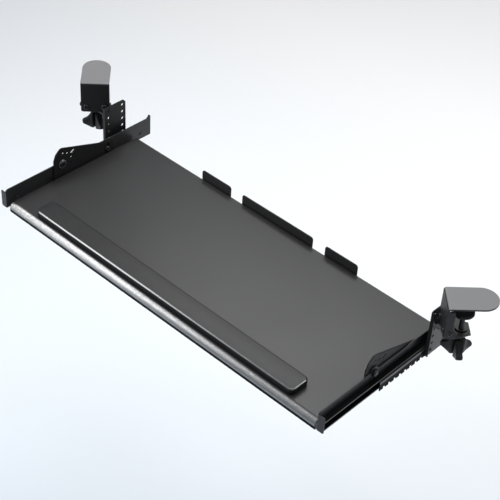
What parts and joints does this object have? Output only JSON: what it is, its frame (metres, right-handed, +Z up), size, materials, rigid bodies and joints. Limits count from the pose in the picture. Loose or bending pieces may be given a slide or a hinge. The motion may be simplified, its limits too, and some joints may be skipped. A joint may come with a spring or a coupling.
{
  "type": "keyboard tray",
  "caption": "Clamp-on keyboard tray that hangs under a desk corner, slides out on ball slides, tilts, and has a padded wrist rest and rear stops.",
  "frame": {"origin": "middle of the board's top face, where the keyboard rests", "axes": "+X to the user's right, +Y away from the user towards the desk, +Z up"},
  "size_m": [0.889, 0.329, 0.1457],
  "materials": {
    "board_vinyl": "fine pebble texture",
    "rest_skin": "soft satin skin",
    "black_steel": "black powder coat",
    "black_bolt": "black oxide",
    "zinc_steel": "dark zinc",
    "knob_plastic": "moulded",
    "pad_rubber": "matt"
  },
  "bodies": {
    "frame": {"left_fixed_rail": "zinc_steel", "right_fixed_rail": "zinc_steel", "rail_bolts": "zinc_steel", "left_rail_bracket": "black_steel", "right_rail_bracket": "black_steel", "left_hanger_plate": "black_steel", "right_hanger_plate": "black_steel", "left_swivel_arm": "black_steel", "right_swivel_arm": "black_steel"},
    "carriage": {"left_side_wall": "black_steel", "right_side_wall": "black_steel", "left_pivot_bolt": "black_bolt", "right_pivot_bolt": "black_bolt", "pivot_nuts": "black_bolt", "lock_bolts": "black_bolt", "left_slide_channel": "black_steel", "right_slide_channel": "black_steel", "channel_rivets": "zinc_steel"},
    "cages": {"left_ball_cage": "zinc_steel", "right_ball_cage": "zinc_steel", "slide_balls": "zinc_steel"},
    "tray": {"board": "board_vinyl", "wrist_rest": "rest_skin", "stop_left": "black_steel", "stop_middle": "black_steel", "stop_right": "black_steel", "stop_screws": "black_bolt", "left_tilt_bracket": "black_steel", "right_tilt_bracket": "black_steel", "tilt_bracket_screws": "black_bolt"},
    "left_clamp": {"left_clamp_bracket": "black_steel", "left_lower_jaw": "black_steel", "left_jaw_bolts": "black_bolt", "left_swivel_bush": "zinc_steel", "left_swivel_nut": "zinc_steel"},
    "left_pad": {"left_clamp_pad": "zinc_steel", "left_pad_rubber": "pad_rubber"},
    "left_knob": {"left_clamp_screw": "zinc_steel", "left_clamp_knob": "knob_plastic"},
    "right_clamp": {"right_clamp_bracket": "black_steel", "right_lower_jaw": "black_steel", "right_jaw_bolts": "black_bolt", "right_swivel_bush": "zinc_steel", "right_swivel_nut": "zinc_steel"},
    "right_pad": {"right_clamp_pad": "zinc_steel", "right_pad_rubber": "pad_rubber"},
    "right_knob": {"right_clamp_screw": "zinc_steel", "right_clamp_knob": "knob_plastic"}
  },
  "joints": [
    {"name": "slide_travel", "type": "slide", "parent": "frame", "child": "carriage", "axis": [0, 1, 0], "range_m": [-0.048, 0.118]},
    {"name": "cage_travel", "type": "slide", "parent": "frame", "child": "cages", "axis": [0, 1, 0], "range_m": [-0.0241, 0.0591]},
    {"name": "tray_tilt", "type": "hinge", "parent": "carriage", "child": "tray", "pos_m": [0, -0.0255, 0.0223], "axis": [1, 0, 0], "range_deg": [-5, 5]},
    {"name": "left_clamp_swivel", "type": "hinge", "parent": "frame", "child": "left_clamp", "pos_m": [-0.4032, 0.1032, 0.06], "axis": [0, 0, 1], "range_deg": [-45, 0]},
    {"name": "left_pad_lift", "type": "slide", "parent": "left_clamp", "child": "left_pad", "axis": [0, 0, 1], "range_m": [-0.02502, 0.00802]},
    {"name": "left_knob_turn", "type": "hinge", "parent": "left_pad", "child": "left_knob", "pos_m": [-0.4032, 0.1032, 0.06], "axis": [0, 0, 1], "range_deg": [-6000, 1920]},
    {"name": "right_clamp_swivel", "type": "hinge", "parent": "frame", "child": "right_clamp", "pos_m": [0.4032, 0.1032, 0.06], "axis": [0, 0, 1], "range_deg": [0, 45]},
    {"name": "right_pad_lift", "type": "slide", "parent": "right_clamp", "child": "right_pad", "axis": [0, 0, 1], "range_m": [-0.02502, 0.00802]},
    {"name": "right_knob_turn", "type": "hinge", "parent": "right_pad", "child": "right_knob", "pos_m": [0.4032, 0.1032, 0.06], "axis": [0, 0, 1], "range_deg": [-6000, 1920]}
  ],
  "couplings": [
    {"joint": "cage_travel", "follows": "slide_travel", "ratio": 0.5},
    {"joint": "left_pad_lift", "follows": "left_knob_turn", "m_per_rad": 0.00023873},
    {"joint": "right_pad_lift", "follows": "right_knob_turn", "m_per_rad": 0.00023873}
  ]
}
